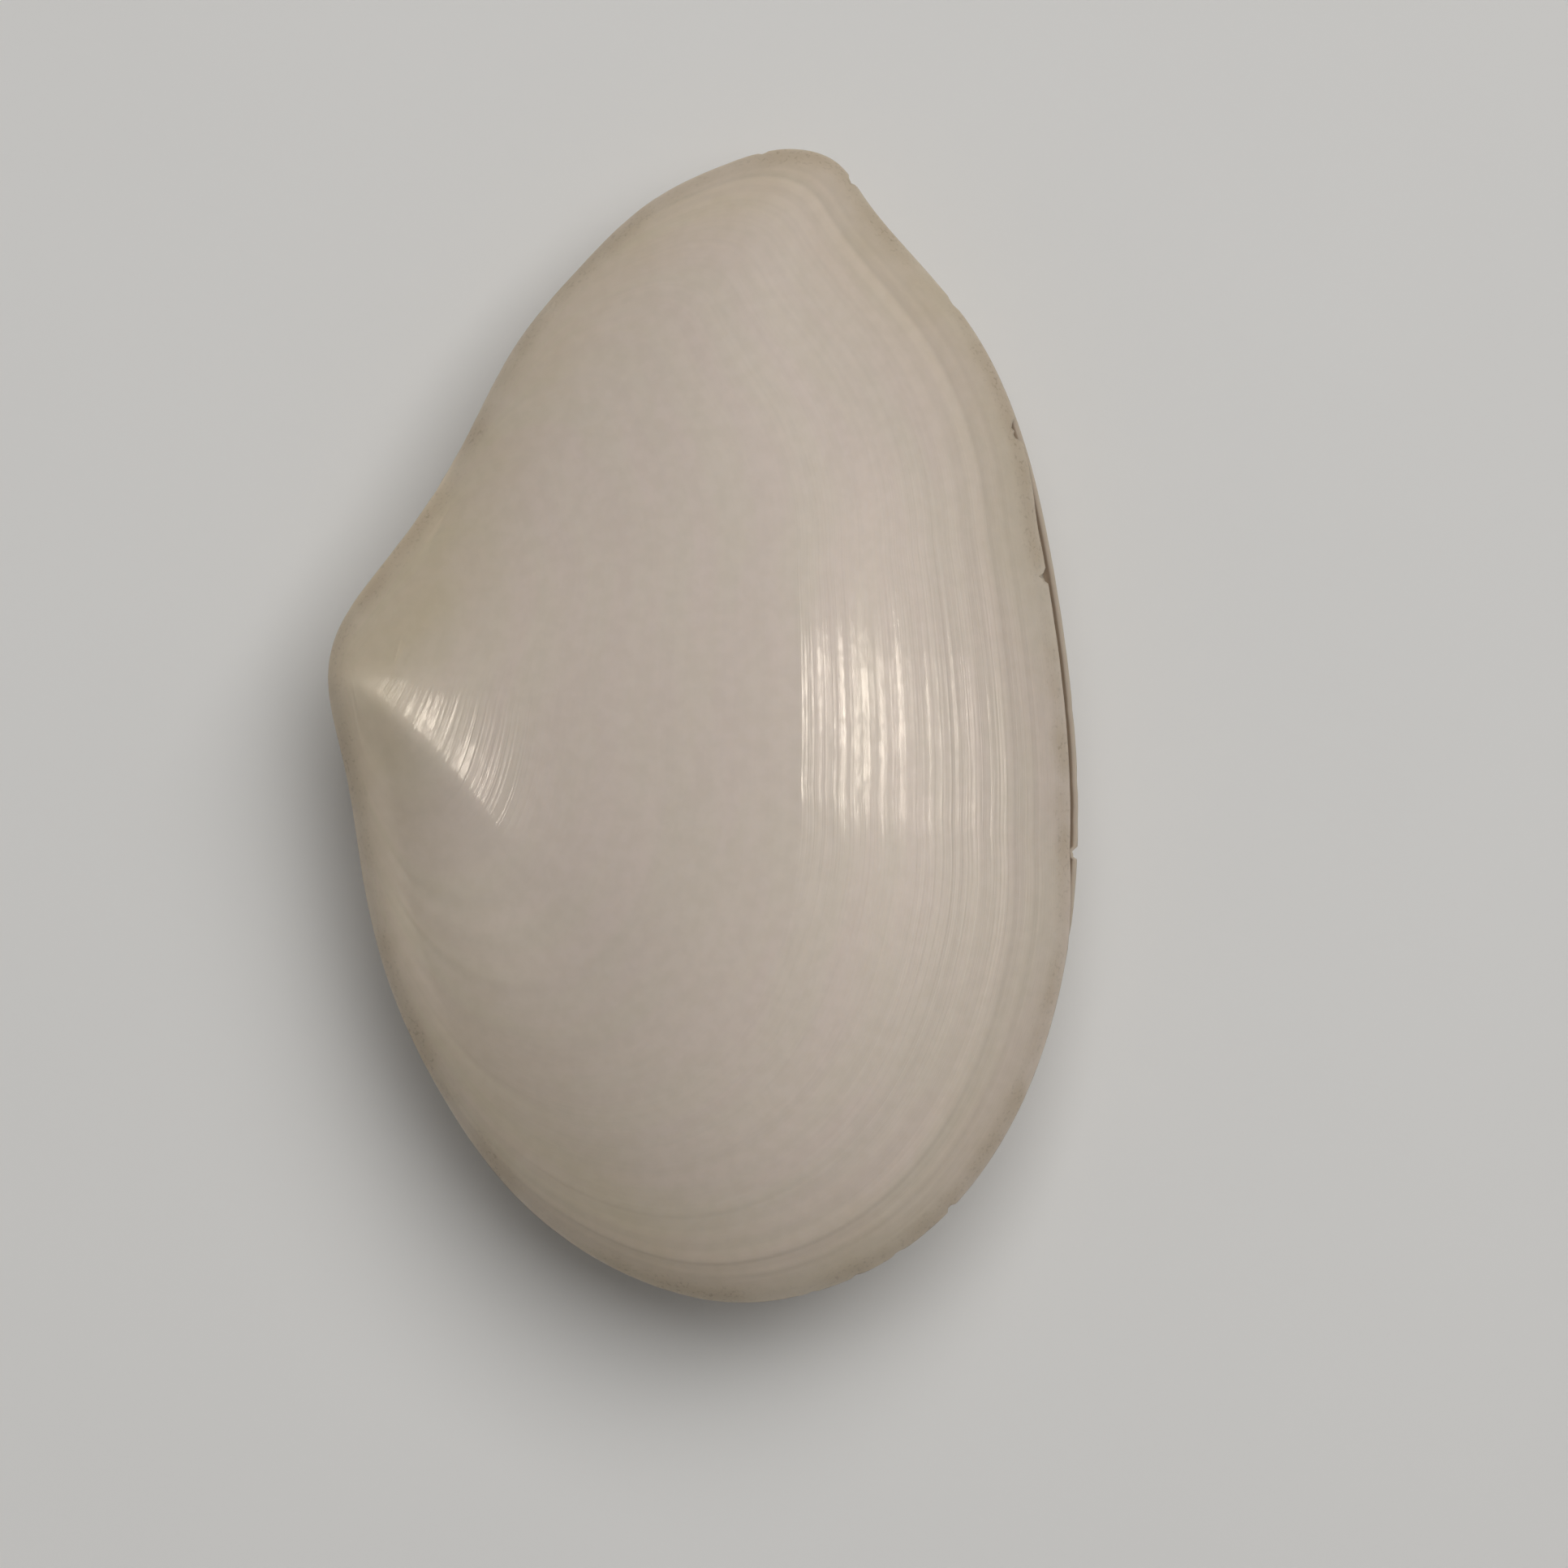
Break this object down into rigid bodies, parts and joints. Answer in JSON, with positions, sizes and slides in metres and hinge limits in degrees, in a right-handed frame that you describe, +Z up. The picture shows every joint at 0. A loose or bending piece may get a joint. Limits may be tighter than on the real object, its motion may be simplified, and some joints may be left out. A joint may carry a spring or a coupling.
{
  "type": "white tellin clam shell",
  "caption": "Closed pair of smooth, glossy white clam valves with faint growth lines, pointed at one end, joined by a small dried ligament.",
  "frame": {"origin": "centre of the shell's box at its lowest point, where its lower valve touches the surface it lies on", "axes": "+Y towards the pointed posterior end, +X towards the ventral margin, away from the beaks and the hinge, +Z up, out of the left valve"},
  "size_m": [0.0324, 0.05, 0.0137],
  "materials": {
    "left_valve": "naturally polished cream-white shell, with faint growth lines",
    "right_valve": "naturally polished cream-white shell, with faint growth lines",
    "ligament": "dried brown horn-like fibre"
  },
  "bodies": {
    "root": {"left_valve": "left_valve", "right_valve": "right_valve", "ligament": "ligament"}
  },
  "joints": []
}
